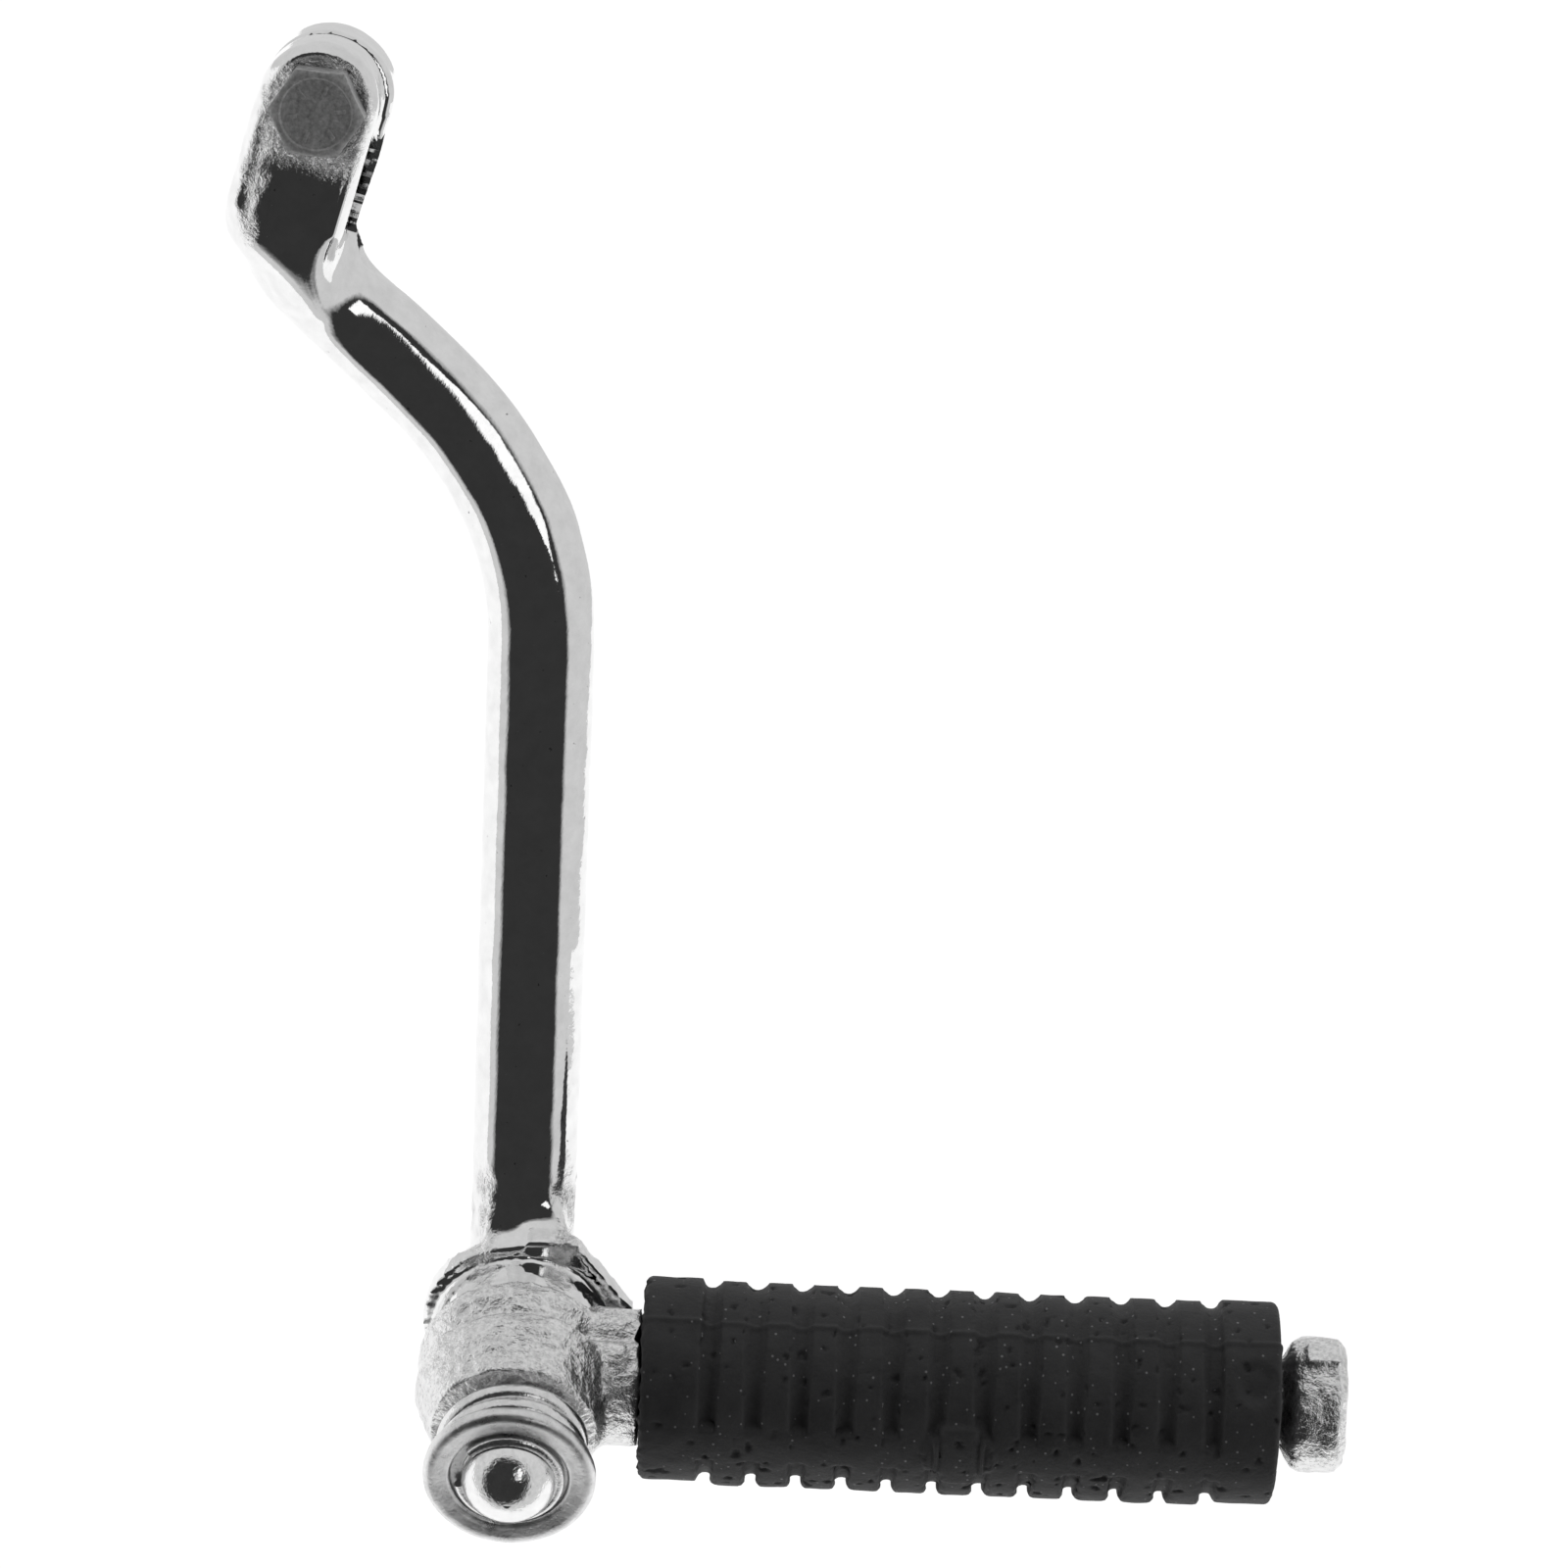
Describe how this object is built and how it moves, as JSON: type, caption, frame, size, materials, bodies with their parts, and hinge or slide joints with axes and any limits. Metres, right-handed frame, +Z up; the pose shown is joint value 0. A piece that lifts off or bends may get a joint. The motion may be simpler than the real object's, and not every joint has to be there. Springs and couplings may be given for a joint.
{
  "type": "kick start lever",
  "caption": "Motorcycle kick start lever: split serrated clamp with pinch bolt, bent forged arm, and a ribbed rubber foot peg that folds on a spring-loaded pin.",
  "frame": {"origin": "centre of the serrated clamp bore, half way along it", "axes": "+X along the bore, away from the engine and towards the peg; +Z up through the pinch bolt; the arm hangs down -Z; the pinch bolt's head and the peg's spring are on the -Y side"},
  "size_m": [0.1957, 0.0542, 0.1857],
  "materials": {
    "arm_chrome": "polished chrome plate on a forging, with fine brushing marks",
    "bolt_steel": "grey zinc-plated steel",
    "pin_steel": "bright plated steel",
    "spring_steel": "bright drawn wire",
    "plate_zinc": "zinc-plated, slightly mottled",
    "peg_chrome": "chrome plate over a rough forging",
    "black_rubber": "matte black moulded rubber"
  },
  "bodies": {
    "lever": {"lever_arm": "arm_chrome", "pinch_bolt": "bolt_steel", "pivot_pin": "pin_steel", "snap_ring": "spring_steel", "spring_plate": "plate_zinc", "peg_spring": "spring_steel"},
    "peg": {"foot_peg": "peg_chrome", "peg_rubber": "black_rubber"}
  },
  "joints": [
    {"name": "peg_fold", "type": "hinge", "parent": "lever", "child": "peg", "pos_m": [0.0737, 0, -0.144], "axis": [0.0885, -0.9397, -0.3304], "range_deg": [0, 90]}
  ]
}
